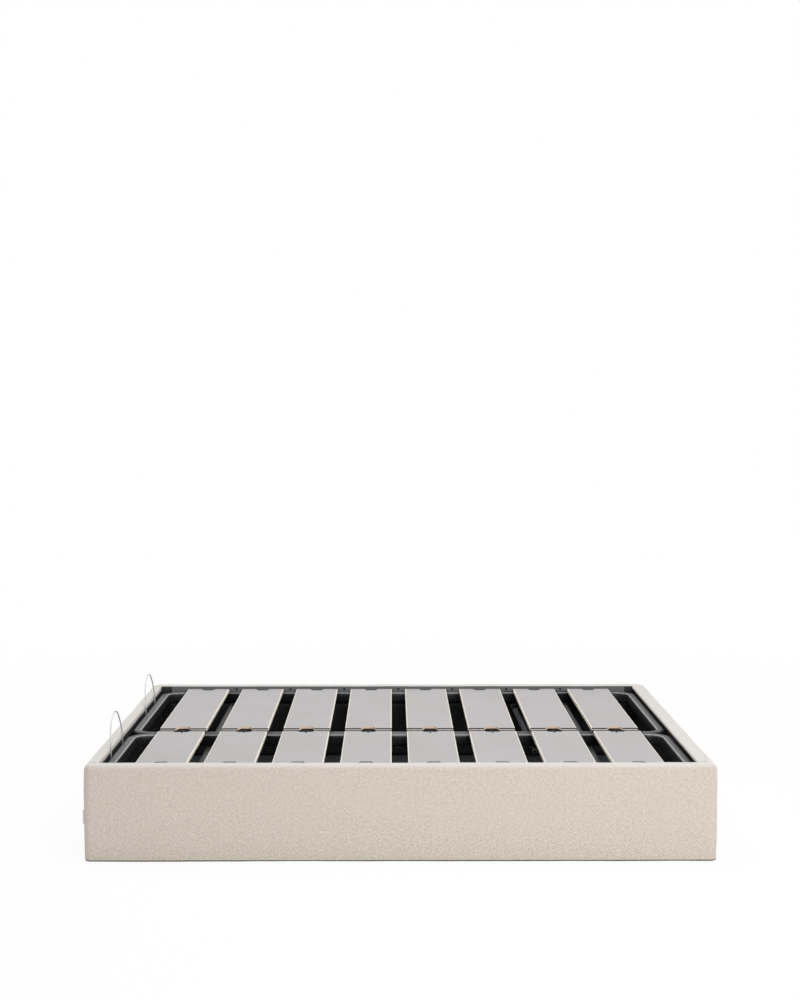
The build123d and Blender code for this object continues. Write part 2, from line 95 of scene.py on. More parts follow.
room_light = 0.46
world = bpy.data.worlds.new("room")
bpy.context.scene.world = world
world.use_nodes = True
world.node_tree.nodes.clear()
strength = add(world.node_tree, "ShaderNodeMapRange", {0: eye_rays(world.node_tree), 3: room_light, 4: 1.0})
room = add(world.node_tree, "ShaderNodeBackground",
           {"Color": linear("FFFFFF"), "Strength": strength.outputs[0]})
add(world.node_tree, "ShaderNodeOutputWorld", {"Surface": room.outputs[0]})

floor_half = 40.0
white_from, white_to = 1.2, 4.5
floor_glow = 0.92
floor_mesh = bpy.data.meshes.new("floor")
floor_mesh.from_pydata([(-floor_half, -floor_half, 0), (floor_half, -floor_half, 0),
                        (floor_half, floor_half, 0), (-floor_half, floor_half, 0)], [], [(0, 1, 2, 3)])
floor = bpy.data.objects.new("floor", floor_mesh)
bpy.context.scene.collection.objects.link(floor)
floor_paint, tree = new_material("matt white floor")
place = add(tree, "ShaderNodeTexCoord")
reach = add(tree, "ShaderNodeVectorMath", {0: place.outputs["Object"]}, operation="LENGTH")
fade = add(tree, "ShaderNodeMapRange", {0: reach.outputs["Value"], 1: white_from, 2: white_to,
                                        3: floor_glow, 4: 1.0}, interpolation_type="SMOOTHSTEP")
glow = add(tree, "ShaderNodeMath", {0: fade.outputs[0], 1: eye_rays(tree)}, operation="MULTIPLY")
matt = add(tree, "ShaderNodeBsdfDiffuse", {"Color": linear("F2F1EF")})
white = add(tree, "ShaderNodeEmission", {"Color": linear("FFFFFF"), "Strength": 1.0})
both = add(tree, "ShaderNodeMixShader", {0: glow.outputs[0], 1: matt.outputs[0], 2: white.outputs[0]})
add(tree, "ShaderNodeOutputMaterial", {"Surface": both.outputs[0]})
floor_mesh.materials.append(floor_paint)

for name, at, aim, width, depth, watts in (("key_lamp", (1.9, -4.1, 2.9), (0.1, 0, 0.2), 3.2, 2.2, 108),
                                           ("top_lamp", (0.0, 0.5, 4.2), (0, 0, 0.2), 4.0, 3.0, 112)):
    lamp = bpy.data.objects.new(name, bpy.data.lights.new(name, "AREA"))
    bpy.context.scene.collection.objects.link(lamp)
    lamp.data.shape = "RECTANGLE"
    lamp.data.size, lamp.data.size_y = width, depth
    lamp.data.energy = watts
    lamp.location = at
    lamp.rotation_euler = (Vector(at) - Vector(aim)).to_track_quat("Z", "Y").to_euler()

# Boards, cleats and beam
# The box is of raw 18 mm particle board, and the cleats and the beam are of the same. Sanded, it
# shows pressed flakes of pale wood a few millimetres long, with no gloss.


def dress(names, material):
    """Gives frame pieces their finish."""
    for name in names:
        nodes[name].data.materials.clear()
        nodes[name].data.materials.append(material)


flake, flake_depth = 4 * MM, 0.2 * MM
particle_board, tree = new_material("raw particle board")
place = add(tree, "ShaderNodeTexCoord")
flakes = add(tree, "ShaderNodeTexVoronoi", {"Vector": place.outputs["Object"], "Scale": 1 / flake})
grey = add(tree, "ShaderNodeSeparateColor", {0: flakes.outputs["Color"]})
tone = add(tree, "ShaderNodeMix", {0: grey.outputs[0], 6: linear("B79E78"), 7: linear("8F744F")},
           data_type="RGBA")
relief = add(tree, "ShaderNodeBump", {"Height": grey.outputs[1], "Strength": 0.3, "Distance": flake_depth})
skin = add(tree, "ShaderNodeBsdfPrincipled", {"Base Color": tone.outputs[2], "Roughness": 0.85,
                                              "Normal": relief.outputs[0]})
add(tree, "ShaderNodeOutputMaterial", {"Surface": skin.outputs[0]})
dress(["board_near", "board_far", "board_foot", "board_head", "floor_cleats", "floor_beam"], particle_board)

# Storage floor
# Two hardboard panels with a black film on top lie on the cleats. The film is nearly matt, with a
# faint grain pressed in.
film_grain, film_depth = 2.5 * MM, 0.1 * MM
floor_film, tree = new_material("black filmed hardboard")
place = add(tree, "ShaderNodeTexCoord")
grain = add(tree, "ShaderNodeTexNoise", {"Vector": place.outputs["Object"], "Scale": 1 / film_grain,
                                         "Detail": 3.0})
tone = add(tree, "ShaderNodeMix", {0: grain.outputs[0], 6: linear("505356"), 7: linear("606366")},
           data_type="RGBA")
relief = add(tree, "ShaderNodeBump", {"Height": grain.outputs[0], "Strength": 0.2,
                                      "Distance": film_depth})
skin = add(tree, "ShaderNodeBsdfPrincipled", {"Base Color": tone.outputs[2], "Roughness": 0.6,
                                              "Normal": relief.outputs[0]})
add(tree, "ShaderNodeOutputMaterial", {"Surface": skin.outputs[0]})
dress(["floor_panel_near", "floor_panel_far"], floor_film)

# Glides
# Nine square feet of black moulded polyethylene are nailed under the boards. They are matt, with a
# fine spark-eroded grain. The rubber pads that carry the closed platform are moulded in the same way.
spark_depth = 0.08 * MM


def moulded_plastic(name, dark, light, roughness, grain_size):
    """Moulded plastic with a fine grain between two colours."""
    material, tree = new_material(name)
    place = add(tree, "ShaderNodeTexCoord")
    grain = add(tree, "ShaderNodeTexNoise", {"Vector": place.outputs["Object"], "Scale": 1 / grain_size,
                                             "Detail": 2.0})
    tone = add(tree, "ShaderNodeMix", {0: grain.outputs[0], 6: linear(dark), 7: linear(light)},
               data_type="RGBA")
    relief = add(tree, "ShaderNodeBump", {"Height": grain.outputs[0], "Strength": 0.25,
                                          "Distance": spark_depth})
    skin = add(tree, "ShaderNodeBsdfPrincipled", {"Base Color": tone.outputs[2], "Roughness": roughness,
                                                  "Normal": relief.outputs[0]})
    add(tree, "ShaderNodeOutputMaterial", {"Surface": skin.outputs[0]})
    return material


polyethylene = moulded_plastic("black moulded polyethylene", "141414", "202020", 0.6, 1.2 * MM)
dress(["glides"], polyethylene)
rubber = moulded_plastic("black moulded rubber", "0E0E0E", "191919", 0.8, 1.5 * MM)
dress(["rest_pads"], rubber)

# Padded covers
# Cream basket-weave upholstery over foam, drawn tight over the boards and stapled under and inside.
# Inside, below the rim, each cover goes on in black liner cloth, which reaches higher on some sides to
# paint the shade in the gap under the rim. At the floor a taupe band round the hem is a painted contact
# shadow. The near and far covers wrap the corners, and the foot and head covers meet them in a seam.
half_length, half_width, height = 990 * MM, 740 * MM, 306 * MM
board_foot_z, hem_z = 5 * MM, 0.3 * MM
pad, board, wall = 18 * MM, 18 * MM, 38 * MM
board_top, skin_bottom = 292 * MM, 236 * MM
corner_radius, least_radius = 22 * MM, 1 * MM
seam_y, seam_gap = 700 * MM, 0.6 * MM
seam_draw, seam_width = 1.8 * MM, 7 * MM
face_crown, near_crown, other_crown = 1.6 * MM, 1.8 * MM, 4.4 * MM
face_ease, crown_lean = 0.6, 1.6
rim_outer, rim_inner, hem, hem_width = 16 * MM, 5 * MM, 4 * MM, 11.4 * MM
hem_shade_top, hem_tuck = 5.2 * MM, 0.6 * MM
inner_levels = (298, 294, 291, 288, 280)
# How high the black liner reaches on each cover's inner face, set side by side to paint the shade in the gap
# under the rim.
black_below = {"near": 298 * MM, "far": 304.6 * MM, "foot": 289 * MM, "head": 281 * MM}
foot_fullness, head_fullness = 0.5 * MM, 5 * MM
foot_roll, head_roll, roll_from, roll_to = 2 * MM, 14 * MM, 288 * MM, 297 * MM
roll_inset_from, roll_inset_to = 24 * MM, 33 * MM
swell_size, swells_across, swells_up = 1.3 * MM, 4.5, 9
pucker_size, puckers_across, puckers_up, pucker_shift = 0.5 * MM, 17, 21, 5


def smooth_step(low, high, value):
    """0 below low, 1 above high, and an easy curve between them."""
    share = min(max((value - low) / (high - low), 0.0), 1.0)
    return share * share * (3 - 2 * share)


def arc(middle, radius, start, end, steps):
    """Points on an arc, between two angles in degrees."""
    turns = [math.radians(start + (end - start) * i / steps) for i in range(steps + 1)]
    return [(middle[0] + radius * math.cos(a), middle[1] + radius * math.sin(a)) for a in turns]


def cover_profile(rim_crown):
    """The cover's section, round from its hem: inset from the face, height, and how freely it may swell."""
    outside = [(hem_width, hem_z + hem_tuck)]
    outside += arc((hem, hem_z + hem), hem, 270, 180, 4)
    outside.append((0, hem_shade_top))
    low, high = hem_shade_top, height - rim_outer
    face_steps = 18
    for i in range(1, face_steps):
        share = i / face_steps
        outside.append((-face_crown * math.sin(math.pi * share) ** face_ease, low + (high - low) * share))
    outside += arc((rim_outer, high), rim_outer, 180, 90, 7)
    top_end = wall - rim_inner
    top_steps = 5
    for i in range(1, top_steps):
        share = i / top_steps
        crown = rim_crown * math.sin(math.pi * share ** crown_lean)
        outside.append((rim_outer + (top_end - rim_outer) * share, height + crown))
    outside += arc((top_end, height - rim_inner), rim_inner, 90, 0, 4)
    section = [(inset, z, 1.0) for inset, z in outside]
    section += [(wall, z * MM, 0.5) for z in inner_levels]
    section += [(inset, z, 0.0) for inset, z in (
        (wall, skin_bottom), (pad + board, skin_bottom), (pad + board, board_top), (pad, board_top),
        (pad, board_foot_z), (hem_width, board_foot_z))]
    return section


def corner_point(inset, sign_x, sign_y, angle):
    """A point of the plan on a rounded corner, at an inset."""
    radius = max(corner_radius - inset, least_radius)
    centre_x = half_length - inset - radius
    centre_y = half_width - inset - radius
    return sign_x * centre_x + radius * math.cos(angle), sign_y * centre_y + radius * math.sin(angle)


def side_point(inset, side, share):
    """A point of the plan on a long side, from share 0 at the foot corner to 1 at the head corner."""
    reach = half_length - inset - max(corner_radius - inset, least_radius)
    return -reach + 2 * reach * share, side * (half_width - inset)


def long_cover_stations(side):
    """Where the near or far cover's section stands, from its foot seam to its head seam."""
    turn_in_steps, corner_steps, run_steps = 4, 7, 110
    seam = side * (seam_y + seam_gap / 2)
    ends = []
    for end, start in ((-1, math.pi), (1, 0)):
        turn = (side * math.pi / 2 - start + math.pi) % (2 * math.pi) - math.pi
        part = [lambda inset, e=end, s=i / turn_in_steps: (
            e * (half_length - inset), seam + s * (corner_point(inset, e, side, 0)[1] - seam))
            for i in range(turn_in_steps)]
        part += [lambda inset, e=end, a=start + turn * i / corner_steps: corner_point(inset, e, side, a)
                 for i in range(corner_steps)]
        ends.append(part)
    run = [lambda inset, s=i / run_steps: side_point(inset, side, s) for i in range(run_steps + 1)]
    return ends[0] + run + ends[1][::-1]


def end_cover_stations(side):
    """Where the foot or head cover's section stands, from its near seam to its far seam."""
    reach, run_steps, turn_in = seam_y - seam_gap / 2, 80, (0, 2 * MM, 5 * MM)
    open_reach = reach - 2 * turn_in[-1]
    places = [-reach + s for s in turn_in]
    places += [-open_reach + 2 * open_reach * i / run_steps for i in range(run_steps + 1)]
    places += [reach - s for s in turn_in[::-1]]
    return [lambda inset, y=y: (side * (half_length - inset), y) for y in places]


def sweep(name, rings, *materials):
    """A closed mesh through rings of points, with flat ends."""
    count = len(rings[0])
    faces = [(k * count + i, k * count + (i + 1) % count, (k + 1) * count + (i + 1) % count,
              (k + 1) * count + i) for k in range(len(rings) - 1) for i in range(count)]
    faces += [tuple(range(count)), tuple(range(len(rings) * count - count, len(rings) * count))]
    mesh = bpy.data.meshes.new(name)
    mesh.from_pydata([tuple(p) for ring in rings for p in ring], [], faces)
    shape = bmesh.new()
    shape.from_mesh(mesh)
    bmesh.ops.recalc_face_normals(shape, faces=shape.faces)
    shape.to_mesh(mesh)
    shape.free()
    for polygon in mesh.polygons:
        polygon.use_smooth = len(polygon.vertices) == 4
    for material in materials:
        mesh.materials.append(material)
    piece = bpy.data.objects.new(name, mesh)
    bpy.context.scene.collection.objects.link(piece)
    return piece


def cover_piece(name, stations, cad_node, black_top, rim_crown):
    """One closed padded cover with slight dips and swells. Its inner face is black below black_top, liner
    cloth raised as painted shade under the rim.
    """
    section = cover_profile(rim_crown)
    count = len(section)
    around = [0.0]
    for a, b in zip(section, section[1:]):
        around.append(around[-1] + math.dist(a[:2], b[:2]))
    along = [0.0]
    for a, b in zip(stations, stations[1:]):
        along.append(along[-1] + math.dist(a(0), b(0)))
    rings = []
    for k, station in enumerate(stations):
        to_seam = min(along[k], along[-1] - along[k])
        draw = seam_draw * max(0.0, 1 - to_seam / seam_width) ** 2
        ring = []
        for i, (inset, z, freedom) in enumerate(section):
            before, after = section[i - 1], section[(i + 1) % count]
            tangent = Vector((after[0] - before[0], after[1] - before[1])).normalized()
            x, y = station(inset)
            swell = swell_size * noise.noise(Vector((x * swells_across, y * swells_across, z * swells_up)))
            swell += pucker_size * noise.noise(Vector((x * puckers_across, y * puckers_across,
                                                       z * puckers_up + pucker_shift)))
            move = freedom * (swell - draw)
            x, y = station(inset - tangent.y * move)
            if freedom:
                roll, fullness = (head_roll, head_fullness) if x > 0 else (foot_roll, foot_fullness)
                inward = roll * smooth_step(roll_inset_from, roll_inset_to, inset)
                inward *= smooth_step(roll_from, roll_to, z)
                outward = fullness * max(0.0, 1 - inset / pad)
                x *= 1 + (outward - inward) / half_length
            ring.append((x, y, max(z + tangent.x * move, hem_z) if freedom else z))
        rings.append(ring)
    piece = sweep(name, rings, basket_weave, liner_cloth, hem_shadow)
    layer = piece.data.uv_layers.new(name="cloth")
    half_rim = (rim_outer + wall) / 2
    for polygon in piece.data.polygons:
        steps = [divmod(v, count) for v in polygon.vertices]
        spots = [section[i] for _, i in steps]
        # Painted shade: inner faces below black_top take the black liner cloth.
        if len(steps) == 4 and all(inset > half_rim and z <= black_top for inset, z, _ in spots):
            polygon.material_index = 1
        # Painted contact shadow: the hem's lowest band takes a dark taupe colour.
        if len(steps) == 4 and all(z <= hem_shade_top for _, z, _ in spots):
            polygon.material_index = 2
        for corner, (ring, step) in zip(polygon.loop_indices, steps):
            layer.data[corner].uv = (along[ring], around[step])
    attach(piece, "base")
    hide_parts(cad_node)


# The real threads are near 1 mm. What shows at this distance is a twill of small floats about 8 mm
# apart, so that is drawn, with one diagonal the stronger. Faces turned up, as on the rim, are painted paler
# and greyer, a painted sheen.
twill_pitch, waver_depth, second_share, fleck_share, thread_depth = 8.3 * MM, 5.0, 0.6, 2.4, 0.6 * MM
slub_length, slub_width, blotches_per_metre = 60 * MM, 3 * MM, 9.0
highlight_from, highlight_share = 0.3, 0.65
basket_weave, tree = new_material("cream basket weave")
cloth = add(tree, "ShaderNodeUVMap", uv_map="cloth")
waver = add(tree, "ShaderNodeTexNoise", {"Vector": cloth.outputs[0], "Scale": 1 / (4 * twill_pitch),
                                         "Detail": 2.0})
axes = add(tree, "ShaderNodeSeparateXYZ", {0: cloth.outputs[0]})
diagonals = []
for operation in ("ADD", "SUBTRACT"):
    across = add(tree, "ShaderNodeMath", {0: axes.outputs[0], 1: axes.outputs[1]}, operation=operation)
    turns = add(tree, "ShaderNodeMath", {0: across.outputs[0], 1: 2 * math.pi / twill_pitch},
                operation="MULTIPLY")
    wavered = add(tree, "ShaderNodeMath", {0: waver.outputs[0], 1: waver_depth, 2: turns.outputs[0]},
                  operation="MULTIPLY_ADD")
    diagonals.append(add(tree, "ShaderNodeMath", {0: wavered.outputs[0]}, operation="SINE"))
second = add(tree, "ShaderNodeMath", {0: diagonals[1].outputs[0], 1: second_share}, operation="MULTIPLY")
floats = add(tree, "ShaderNodeMath", {0: diagonals[0].outputs[0], 1: second.outputs[0]}, operation="ADD")
fleck = add(tree, "ShaderNodeTexNoise", {"Vector": cloth.outputs[0], "Scale": 1 / twill_pitch,
                                         "Detail": 1.0})
lift = add(tree, "ShaderNodeMath", {0: fleck.outputs[0], 1: fleck_share, 2: floats.outputs[0]},
           operation="MULTIPLY_ADD")
thread = add(tree, "ShaderNodeMapRange", {0: lift.outputs[0], 1: -0.5, 2: 2.9, 3: 0.0, 4: 1.0})
tone = add(tree, "ShaderNodeMix", {0: thread.outputs[0], 6: linear("B1A699"), 7: linear("E8DDD5")},
           data_type="RGBA")
slub_scale = add(tree, "ShaderNodeMapping", {"Vector": cloth.outputs[0],
                                             "Scale": (1 / slub_length, 1 / slub_width, 1)})
slubs = add(tree, "ShaderNodeTexNoise", {"Vector": slub_scale.outputs[0], "Scale": 1.0, "Detail": 2.0})
warm = add(tree, "ShaderNodeMapRange", {0: slubs.outputs[0], 1: 0.45, 2: 0.8, 3: 0.0, 4: 0.3})
flecked = add(tree, "ShaderNodeMix", {0: warm.outputs[0], 6: tone.outputs[2], 7: linear("CFBBAA")},
              data_type="RGBA")
blotch = add(tree, "ShaderNodeTexNoise", {"Vector": cloth.outputs[0], "Scale": blotches_per_metre,
                                          "Detail": 2.0})
cool = add(tree, "ShaderNodeMapRange", {0: blotch.outputs[0], 1: 0.4, 2: 0.75, 3: 0.0, 4: 0.3})
cloth_tone = add(tree, "ShaderNodeMix", {0: cool.outputs[0], 6: flecked.outputs[2], 7: linear("CEC7BC")},
                 data_type="RGBA")
place = add(tree, "ShaderNodeTexCoord")
facing = add(tree, "ShaderNodeSeparateXYZ", {0: place.outputs["Normal"]})
# Painted sheen: faces turned up are mixed towards pale grey, for the light the rim catches at grazing angles.
painted_highlight = add(tree, "ShaderNodeMapRange", {0: facing.outputs[2], 1: highlight_from, 2: 1.0, 4: highlight_share},
             interpolation_type="SMOOTHSTEP")
highlighted_tone = add(tree, "ShaderNodeMix", {0: painted_highlight.outputs[0], 6: cloth_tone.outputs[2], 7: linear("CAC9C5")},
                data_type="RGBA")
relief = add(tree, "ShaderNodeBump", {"Height": thread.outputs[0], "Strength": 0.5,
                                      "Distance": thread_depth})
skin = add(tree, "ShaderNodeBsdfPrincipled", {"Base Color": highlighted_tone.outputs[2], "Roughness": 0.95,
                                              "Sheen Weight": 0.5, "Sheen Roughness": 0.5,
                                              "Normal": relief.outputs[0]})
add(tree, "ShaderNodeOutputMaterial", {"Surface": skin.outputs[0]})
liner_cloth = moulded_plastic("black nonwoven liner", "1E1E20", "303033", 0.55, 2.0 * MM)
# A dark taupe, painted round the hem as a contact shadow at the floor.
hem_shadow = moulded_plastic("painted hem shadow", "5E544A", "6E6358", 0.9, 1.2 * MM)

cover_piece("near_padded_cover", long_cover_stations(-1), "cover_near", black_below["near"], near_crown)
cover_piece("far_padded_cover", long_cover_stations(1), "cover_far", black_below["far"], other_crown)
cover_piece("foot_padded_cover", end_cover_stations(-1), "cover_foot", black_below["foot"], other_crown)
cover_piece("head_padded_cover", end_cover_stations(1), "cover_head", black_below["head"], other_crown)

# Liner
# Black non-woven cloth is stapled inside the boards, round the storage space. It is stretched at
# the long sides and hangs in slack folds at the ends, where no fitting holds it back. Its pressed
# fibres have a dull sheen.
liner_low, liner_high = 24 * MM, 236 * MM
liner_x, liner_y, cloth_back = 952.4 * MM, 702.4 * MM, 1.0 * MM
slack, fold_end_share, fold_lift, folds_across, folds_up = 7 * MM, 0.8, 0.5, 9, 22
column_pitch, held_to, free_from = 12 * MM, 50 * MM, 90 * MM


def liner_wall(start, end, inward, fold_height):
    """Two faces of cloth along one wall: rows of points up the wall, front then back."""
    rows, columns = 14, max(int((end - start).length / column_pitch), 2)
    face = []
    for k in range(columns + 1):
        at = start + (end - start) * k / columns
        from_corner = min(k, columns - k) * column_pitch
        free = smooth_step(held_to, free_from, from_corner) * fold_height
        column = []
        for i in range(rows + 1):
            share = i / rows
            z = liner_low + (liner_high - liner_low) * share
            fold = noise.noise(Vector((at.x * folds_across, at.y * folds_across, z * folds_up))) + fold_lift
            fold *= math.sin(math.pi * min(share / fold_end_share, 1.0)) * slack * free
            column.append(at + inward * max(fold, 0.0) + Vector((0, 0, z)))
        face.append(column)
    return face


corners = [Vector((sx * liner_x, sy * liner_y, 0)) for sx, sy in ((-1, -1), (1, -1), (1, 1), (-1, 1))]
for number, name in enumerate(("near", "head", "far", "foot")):
    start, end = corners[number], corners[(number + 1) % 4]
    inward = Vector((0, 0, 1)).cross(end - start).normalized()
    front = liner_wall(start, end, inward, 1.0 if name in ("head", "foot") else 0.0)
    rings = [column + [p - inward * cloth_back for p in column[::-1]] for column in front]
    sheet = sweep(f"{name}_liner_cloth", rings, liner_cloth)
    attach(sheet, "base")
    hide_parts("liner")

# Side tab
# A loop of grey-pink woven tape, 48 mm wide, is sewn into the foot end near the near corner. It
# lies folded, with its fold outward, and its close weave is matt.
tab_low, tab_width, tab_steps = 110 * MM, 48 * MM, 16
tab_root, tab_tip, tab_round = -988 * MM, -1000 * MM, 5 * MM
tab_y, tab_half, tape = -700.8 * MM, 1.2 * MM, 0.9 * MM
tape_cloth = moulded_plastic("grey pink woven tape", "EFE8E7", "FFFAF9", 0.9, 1.5 * MM)
rings = []
for i in range(tab_steps + 1):
    z = tab_low + tab_width * i / tab_steps
    from_edge = min(z - tab_low, tab_low + tab_width - z, tab_round)
    drawn = tab_round - math.sqrt(max(tab_round ** 2 - (tab_round - from_edge) ** 2, 0.0))
    tip = tab_tip + drawn
    outer = [(tab_root, tab_y - tab_half)]
    outer += arc((tip + tab_half, tab_y), tab_half, 270, 90, 6) + [(tab_root, tab_y + tab_half)]
    inner = [(tab_root, tab_y + tab_half - tape)]
    inner += arc((tip + tab_half, tab_y), tab_half - tape, 90, 270, 6) + [(tab_root, tab_y - tab_half + tape)]
    rings.append([(x, y, z) for x, y in outer + inner])
tab = sweep("foot_side_tab", rings, tape_cloth)
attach(tab, "base")
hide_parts("side_tab")

# Frame steel
# Rails, bows, crossbars, levers, plates and brackets are mild steel in semi-gloss black powder coat.
# Powder flows to a faint orange peel. A pale line painted on the tubes' upper inner edges is a painted
# highlight.
peel, peel_depth, clouds_per_metre = 3 * MM, 0.1 * MM, 12.0
powder_coat, tree = new_material("black powder coated steel")
place = add(tree, "ShaderNodeTexCoord")
ripple = add(tree, "ShaderNodeTexNoise", {"Vector": place.outputs["Object"], "Scale": 1 / peel,
                                          "Detail": 2.0})
cloud = add(tree, "ShaderNodeTexNoise", {"Vector": place.outputs["Object"], "Scale": clouds_per_metre,
                                         "Detail": 3.0})
tone = add(tree, "ShaderNodeMix", {0: cloud.outputs[0], 6: linear("1B1C1E"), 7: linear("26272A")},
           data_type="RGBA")
dull = add(tree, "ShaderNodeMapRange", {0: cloud.outputs[0], 3: 0.34, 4: 0.46})
relief = add(tree, "ShaderNodeBump", {"Height": ripple.outputs[0], "Strength": 0.15,
                                      "Distance": peel_depth})
skin = add(tree, "ShaderNodeBsdfPrincipled", {"Base Color": tone.outputs[2], "Roughness": dull.outputs[0],
                                              "Normal": relief.outputs[0]})
add(tree, "ShaderNodeOutputMaterial", {"Surface": skin.outputs[0]})
halves = ("near", "far")
frame_steel = ["crossbar_foot", "crossbar_head", "joint_plates", "hoop_sockets", "corner_brackets",
               "foot_ledge"]
frame_steel += [f"{part}_{half}" for part in ("lever", "hinge_plate") for half in halves]
dress(frame_steel, powder_coat)

# Half-frames
# Each half is a ring of 30 by 40 mm welded tube with well rounded edges: two straight rails, and two
# bent bows that are pushed on to their ends. The whole is powder coated after it is made.
tube_width, tube_height, tube_edge, tube_base = 30 * MM, 40 * MM, 8 * MM, 246 * MM
frame_end, bow_leg, bow_radius, joint_line = 940 * MM, 90 * MM, 75 * MM, 0.2 * MM
half_edges = {"near": (-690 * MM, -142 * MM), "far": (-139 * MM, 690 * MM)}
tube_section = []
for sign_a, sign_b, start in ((1, 1, 0), (-1, 1, 90), (-1, -1, 180), (1, -1, 270)):
    middle = (sign_a * (tube_width / 2 - tube_edge), sign_b * (tube_height / 2 - tube_edge))
    tube_section += arc(middle, tube_edge, start, start + 90, 4)
# A pale grey coat, painted on the tubes' upper inner edges as a highlight.
highlight_coat = moulded_plastic("painted highlight on black powder coat", "8E8D8C", "A6A5A3", 0.4, 2 * MM)


def bent_tube(name, path, inner_side, cad_node):
    """A rectangular tube along a level path. The upper edge on its inner side has a painted highlight."""
    rings = []
    for k, at in enumerate(path):
        run = Vector(path[min(k + 1, len(path) - 1)]) - Vector(path[max(k - 1, 0)])
        across = Vector((-run.y, run.x)).normalized()
        rings.append([(at[0] + a * across.x, at[1] + a * across.y, tube_base + tube_height / 2 + b)
                      for a, b in tube_section])
    piece = sweep(name, rings, powder_coat, highlight_coat)
    painted_highlight = (2, 3) if inner_side == "left" else (len(tube_section) // 4 + 1, len(tube_section) // 4 + 2)
    for polygon in piece.data.polygons:
        steps = {v % len(tube_section) for v in polygon.vertices}
        if len(polygon.vertices) == 4 and steps == set(painted_highlight):
            polygon.material_index = 1
    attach(piece, "platform")
    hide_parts(cad_node)


for half, (low_y, high_y) in half_edges.items():
    rail_end = frame_end - bow_leg
    centre_low, centre_high = low_y + tube_width / 2, high_y - tube_width / 2
    for side, y in (("front", centre_low), ("back", centre_high)):
        bent_tube(f"{half}_{side}_rail", [(-rail_end + joint_line, y), (rail_end - joint_line, y)],
                  "left" if side == "front" else "right", f"rail_{half}_{side}")
    for end, sign in (("foot", -1), ("head", 1)):
        turn, radius = frame_end - bow_radius, bow_radius - tube_width / 2
        path = [(sign * rail_end, centre_low)]
        path += [(sign * x, y) for x, y in arc((turn, low_y + bow_radius), radius, 270, 360, 10)]
        path += [(sign * x, y) for x, y in arc((turn, high_y - bow_radius), radius, 0, 90, 10)]
        path += [(sign * rail_end, centre_high)]
        bent_tube(f"{half}_{end}_bow", path, "right" if end == "foot" else "left", f"bow_{half}_{end}")

# Wall bars
# A flat bar of lacquered steel is screwed along each long side, under the rim. It keeps the platform off the
# cloth, and its angle carries the platform's rail. The lacquer is smooth and half matt, and its mid grey is a
# painted reflection.
# The bar's grey is a painted reflection on a bar taken to be black.
grey_painted_reflection = moulded_plastic("grey painted reflection on wall bar steel", "6A6B6E", "7A7B7E", 0.5, 3 * MM)
dress(["side_rests"], grey_painted_reflection)

# Slats
# Plywood of birch veneers, 12 mm thick, with pressed grey laminate on both faces, smooth as satin. The
# long edges and the notches are sawn bare, and show cream wood with darker glue lines.
veneer = 1.7 * MM
grain_length, grain_width, grain_depth, stains_per_metre = 220 * MM, 5 * MM, 0.1 * MM, 5.0
laminate_level, notch_level = 0.85, 0.2
slat_board, tree = new_material("grey laminated birch plywood")
place = add(tree, "ShaderNodeTexCoord")
facing = add(tree, "ShaderNodeSeparateXYZ", {0: place.outputs["Normal"]})
upright = add(tree, "ShaderNodeMath", {0: facing.outputs[2]}, operation="ABSOLUTE")
top_faces = add(tree, "ShaderNodeMath", {0: upright.outputs[0], 1: laminate_level}, operation="GREATER_THAN")
across = add(tree, "ShaderNodeMath", {0: facing.outputs[1]}, operation="ABSOLUTE")
in_notch = add(tree, "ShaderNodeMath", {0: across.outputs[0], 1: notch_level}, operation="GREATER_THAN")
# The outer notches, under the rim, are edged in laminate, and the notches at the joint are bare.
outer_from = 600 * MM
layers = add(tree, "ShaderNodeSeparateXYZ", {0: place.outputs["Object"]})
from_middle = add(tree, "ShaderNodeMath", {0: layers.outputs[1]}, operation="ABSOLUTE")
outer = add(tree, "ShaderNodeMath", {0: from_middle.outputs[0], 1: outer_from}, operation="GREATER_THAN")
edged = add(tree, "ShaderNodeMath", {0: outer.outputs[0], 1: in_notch.outputs[0]}, operation="MULTIPLY")
laminated = add(tree, "ShaderNodeMath", {0: top_faces.outputs[0], 1: edged.outputs[0]}, operation="MAXIMUM")
grain_scale = add(tree, "ShaderNodeMapping", {"Vector": place.outputs["Object"],
                                              "Scale": (1 / grain_width, 1 / grain_length, 1 / grain_width)})
grain = add(tree, "ShaderNodeTexNoise", {"Vector": grain_scale.outputs[0], "Scale": 1.0, "Detail": 4.0})
stain = add(tree, "ShaderNodeTexNoise", {"Vector": place.outputs["Object"], "Scale": stains_per_metre,
                                         "Detail": 2.0})
grey = add(tree, "ShaderNodeMix", {0: grain.outputs[0], 6: linear("9D9A9B"), 7: linear("A9A6A7")},
           data_type="RGBA")
grey_stain = add(tree, "ShaderNodeMix", {0: stain.outputs[0], 6: grey.outputs[2], 7: linear("999594")},
                 data_type="RGBA")
turns = add(tree, "ShaderNodeMath", {0: layers.outputs[2], 1: 2 * math.pi / (2 * veneer)},
            operation="MULTIPLY")
bands = add(tree, "ShaderNodeMath", {0: turns.outputs[0]}, operation="SINE")
band = add(tree, "ShaderNodeMapRange", {0: bands.outputs[0], 1: -1.0, 2: 1.0})
birch = add(tree, "ShaderNodeMix", {0: band.outputs[0], 6: linear("F0E2C6"), 7: linear("FFFCF2")},
            data_type="RGBA")
notched = add(tree, "ShaderNodeMix", {0: in_notch.outputs[0], 6: birch.outputs[2], 7: linear("FFE6CB")},
              data_type="RGBA")
